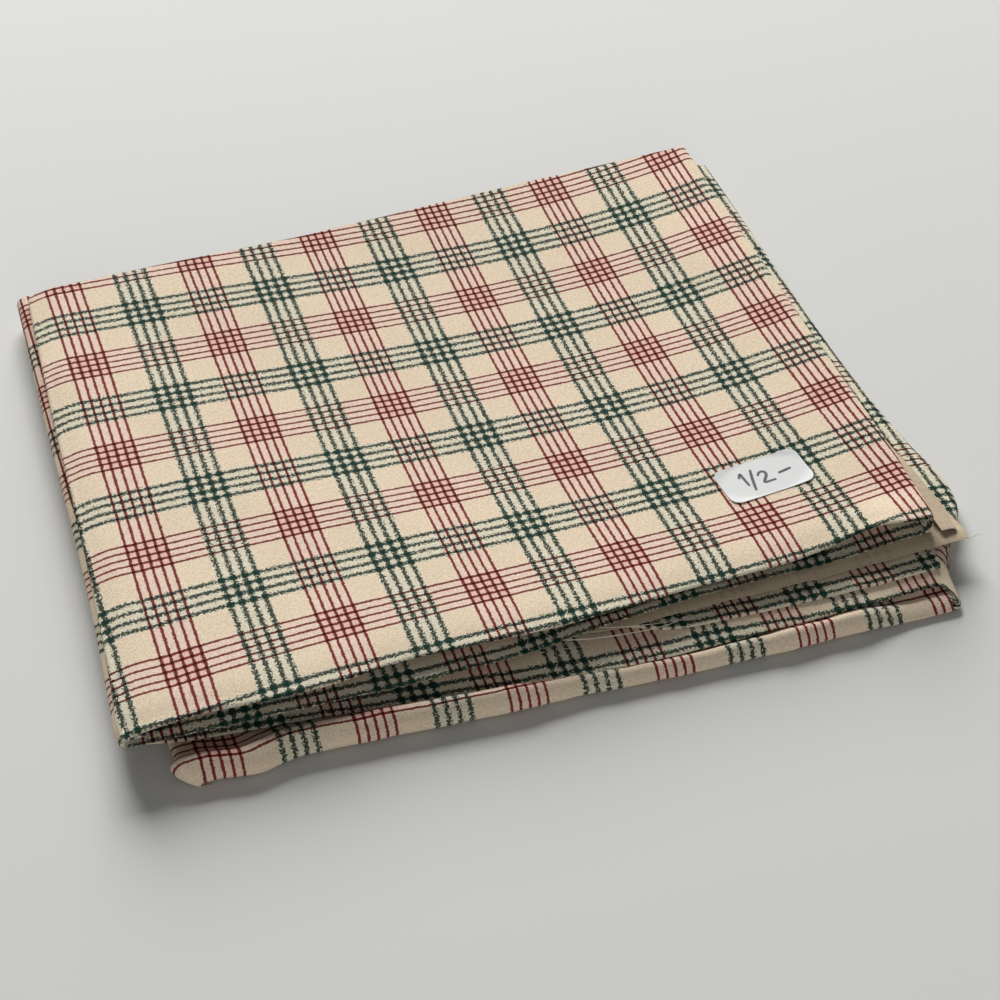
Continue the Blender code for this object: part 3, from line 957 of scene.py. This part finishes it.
loop_y = np.linspace(-104.0, -52.0, int(40 * DETAIL) + 8)
loop_low = np.stack([134.0 + 0 * loop_y, loop_y, 8.5 + 0 * loop_y], axis=-1)
loop_high = np.stack([133.4 + 0 * loop_y, loop_y + 0.6, 11.4 - 0.8 * smooth((loop_y + 75) / 20)], axis=-1)
loop = end_fold(loop_low, loop_high, 1.0, 4.6 - 1.4 * smooth((loop_y + 80) / 25), 17)
loop_flat = np.stack([length_walked(loop, 1) + 8.0, loop[:, :, 1] + 106.0], axis=-1)
loop_piece = cloth_piece("inner_loop_cloth", settle(loop), loop_flat)
loose_plies = ((turned_back, ("turned_back_edge",), (0.250, 0.066)), (tuck_piece, (), (0.113, 0.046)),
               (loop_piece, (), (0.016, 0.052)))
for piece, nodes, flat_size in loose_plies:
    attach(piece, "second_leaf")
    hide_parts(*nodes)

# %% [markdown]
# ## The size label
#
# A paper sticker with rounded corners follows the cloth under it. The mark on it is generic: a fraction and
# a dash, drawn as strokes of an even pen width. Each stroke is a flat ribbon swept along a short curve.

# %% Label and its strokes
LABEL_CENTRE = (85.0, -62.9)
LABEL_TURN = math.radians(4.5)
LABEL_SIZE = (32.4, 17.5)
LABEL_CORNER = 3.6
LABEL_ABOVE = 0.22
INK_ABOVE = 0.26
PAPER_THICKNESS = 0.12


def top_height(x, y):
    """Height of the top leaf's printed face away from its rims."""
    return (TOP_FACE + rim_lift(x, y)) * press(x, y)


def on_label(across, up, above):
    """Label places (from its centre, in millimetres) as points just above the cloth."""
    x = LABEL_CENTRE[0] + across * math.cos(LABEL_TURN) - up * math.sin(LABEL_TURN)
    y = LABEL_CENTRE[1] + across * math.sin(LABEL_TURN) + up * math.cos(LABEL_TURN)
    return np.stack([x, y, top_height(x, y) + above], axis=-1)


def label_surface(rows=25, columns=41):
    """A rectangle whose rows shorten near the ends by a circle, which rounds the corners."""
    half_x, half_y = LABEL_SIZE[0] / 2, LABEL_SIZE[1] / 2
    up = half_y * np.sin(np.linspace(-math.pi / 2, math.pi / 2, rows))
    into = np.clip((np.abs(up) - (half_y - LABEL_CORNER)) / LABEL_CORNER, 0, 1)
    width = half_x - LABEL_CORNER * (1 - np.sqrt(1 - into ** 2))
    across = np.linspace(-1, 1, columns)[None, :] * width[:, None]
    up = up[:, None] + 0 * across
    curl = 0.35 * smooth((np.hypot(across / half_x, up / half_y) - 0.95) / 0.4)
    points = on_label(across, up, LABEL_ABOVE + curl)
    return points, np.stack([across, up], axis=-1)


label_points, label_flat = label_surface()
label = grid_mesh("size_label_paper", label_points, label_flat, (paper,))
paper_shell = label.modifiers.new("paper_thickness", "SOLIDIFY")
paper_shell.thickness = PAPER_THICKNESS * MM
paper_shell.offset = -1.0

STROKES = {"mark_one": ((-8.6, 2.4), (-8.0, 3.2), (-7.2, 4.4), (-7.1, 4.3), (-7.0, 0.4), (-6.8, -2.2)),
           "mark_slash": ((-5.8, -5.2), (-5.0, -1.8), (-3.8, 2.4), (-2.9, 4.8)),
           "mark_two": ((-1.9, 1.0), (-0.9, 2.8), (1.5, 2.5), (1.3, 0.2), (-0.6, -1.7), (-1.7, -3.2),
                        (0.6, -2.9), (3.2, -3.0)),
           "mark_dash": ((5.4, -0.6), (7.0, -0.4), (8.8, -0.2), (10.6, 0.0))}
PEN_WIDTH = 1.12


def stroke_ribbon(name, path, samples=40):
    """A ribbon of pen width along a B-spline, a little narrower at its ends, just above the paper."""
    line = spline_weights(len(path), samples) @ np.array(path, float)
    heading = np.gradient(line, axis=0)
    heading /= np.maximum(np.linalg.norm(heading, axis=1, keepdims=True), 1e-6)
    sideways = np.stack([-heading[:, 1], heading[:, 0]], axis=-1)
    width = PEN_WIDTH / 2 * (0.55 + 0.45 * np.sin(np.linspace(0.25, math.pi - 0.25, samples)) ** 0.5)
    offset = np.linspace(-1, 1, 3)[None, :, None] * width[:, None, None]
    places = line[:, None, :] + sideways[:, None, :] * offset
    points = on_label(places[:, :, 0], places[:, :, 1], INK_ABOVE)
    return grid_mesh(name, points, places, (ink,), flip=True)


marks = [stroke_ribbon(name, path) for name, path in STROKES.items()]
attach(label, "top_leaf")
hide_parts("size_label")
for mark in marks:
    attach(mark, "top_leaf")
print("label", label.name, "with", len(marks), "strokes")

# %% [markdown]
# ## Loose threads and fringe
#
# Cutting cotton frees the last threads along the edge. Two long ones hang at the front and one at the
# corner. Short hairs stand along the cut edges. All are thin tubes: a ring of points carried along a path.

# %% Tubes for threads and hairs


def tubes(name, paths, radius, sides=5):
    """One mesh of many tubes. paths is (tubes, points, 3) in millimetres; the ring lies across each path."""
    count, length = paths.shape[:2]
    heading = np.gradient(paths, axis=1)
    heading /= np.maximum(np.linalg.norm(heading, axis=-1, keepdims=True), 1e-6)
    across = np.cross(heading, np.array([0.12, 0.31, 0.94]))
    across /= np.maximum(np.linalg.norm(across, axis=-1, keepdims=True), 1e-6)
    other = np.cross(heading, across)
    angle = np.linspace(0, 2 * math.pi, sides, endpoint=False)[:, None]
    taper = radius * (1 - 0.75 * np.linspace(0, 1, length) ** 4)[None, :, None, None]
    ring = across[:, :, None, :] * np.cos(angle) + other[:, :, None, :] * np.sin(angle)
    points = paths[:, :, None, :] + ring * taper
    index = np.arange(count * length * sides).reshape(count, length, sides)
    beside = np.roll(index, -1, axis=2)
    quads = np.stack([index[:, :-1], beside[:, :-1], beside[:, 1:], index[:, 1:]], axis=-1).reshape(-1, 4)
    caps = np.concatenate([index[:, 0, ::-1], index[:, -1]])
    mesh = bpy.data.meshes.new(name)
    mesh.from_pydata((points.reshape(-1, 3) * MM).tolist(), [], quads.tolist() + caps.tolist())
    mesh.polygons.foreach_set("use_smooth", np.ones(len(mesh.polygons), dtype=bool))
    mesh.materials.append(cotton_thread)
    mesh.update()
    return link(name, mesh)


def thread(name, path, radius=0.17, samples=60):
    """A thread along a B-spline through a few places."""
    return tubes(name, (spline_weights(len(path), samples) @ np.array(path, float))[None], radius, 6)


FLOOR_CLEARANCE = 0.1
HAIR_RADIUS = 0.055
HAIRS_A_SIDE = 110


def fringe(name, places, outward, key, reach=1.6):
    """Hairs that start at places along an edge, lean out by chance, sag a little and stop at the floor."""
    chance = np.random.default_rng(SEED + key)
    count = len(places)
    lean = np.array(outward) + chance.normal(0, 0.55, (count, 3)) * (1, 1, 0.35)
    lean /= np.linalg.norm(lean, axis=1, keepdims=True)
    length = reach * chance.uniform(0.35, 1.0, (count, 1, 1))
    step = np.linspace(0, 1, 4)[None, :, None]
    sag = np.array([0.0, 0.0, -0.35]) * step ** 2 * length
    curl = chance.normal(0, 0.25, (count, 1, 3)) * (1, 1, 0.3) * step ** 2 * length
    paths = places[:, None, :] + lean[:, None, :] * step * length + sag + curl
    paths[..., 2] = np.maximum(paths[..., 2], FLOOR_CLEARANCE)
    return tubes(name, paths, HAIR_RADIUS, 3)


front_path = ((-12, -104.5, 11.5), (-4, -107.5, 10.2), (8, -109.0, 9.4), (20, -110.8, 9.5),
              (32, -111.5, 9.8), (37, -109.0, 9.6))
second_path = ((2, -103.5, 11.0), (10, -107.0, 10.4), (22, -109.0, 9.8), (36, -110.5, 9.4))
corner_path = ((139.0, -106.5, 9.6), (141.5, -108.0, 9.8), (144.0, -108.6, 10.2), (145.5, -107.6, 10.6),
               (146.2, -109.0, 10.2))
front_thread = thread("loose_thread_front_cotton", front_path)
second_thread = thread("loose_thread_second_cotton", second_path, radius=0.13)
corner_thread = thread("loose_thread_corner_cotton", corner_path)

settled_turned = settle(turned)
first_frayed = 60 if DETAIL == 1 else 30
chance = np.random.default_rng(SEED)
front_row = settled_turned[-1, chance.integers(first_frayed, settled_turned.shape[1], 90)]
side_row = settled_turned[chance.integers(12, settled_turned.shape[0], 60), -1]
frayed = np.concatenate([front_row, side_row])
turned_fringe = fringe("turned_back_fringe", frayed, (0.35, -0.75, 0.05), 21)


def back_fringe(name, surface, key):
    """Hairs along both cut edges at the back of a leaf."""
    settled = settle(surface)
    pick = np.random.default_rng(SEED + key).integers(0, settled.shape[1], (2, HAIRS_A_SIDE))
    places = np.concatenate([settled[0, pick[0]], settled[-1, pick[1]]])
    return fringe(name, places, (0.0, 1.0, 0.0), key + 1, reach=1.3)


cut_edges = (("top_leaf", lifted_top, 31), ("third_leaf", third, 41), ("second_leaf", second, 51),
             ("bottom_leaf", bottom, 61))
for body, surface, key in cut_edges:
    piece = back_fringe(body + "_fringe", surface, key)
    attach(piece, body)
for piece in (front_thread, second_thread, corner_thread, turned_fringe):
    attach(piece, "second_leaf")
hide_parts("loose_thread_front")
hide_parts("loose_thread_corner")
print("hairs along the back", len(cut_edges) * 2 * HAIRS_A_SIDE, "and at the turned-back piece", len(frayed))

# %% Floor
FLOOR_COLOUR = srgb(214, 214, 211)
FLOOR_GAP = 0.0002
bpy.ops.mesh.primitive_plane_add(size=8.0, location=(0.0, 0.0, -FLOOR_GAP))
floor = bpy.context.object
floor.name = "pale_floor"
floor.data.materials.append(Net("pale_floor").surface(FLOOR_COLOUR, 0.8, 0.05))
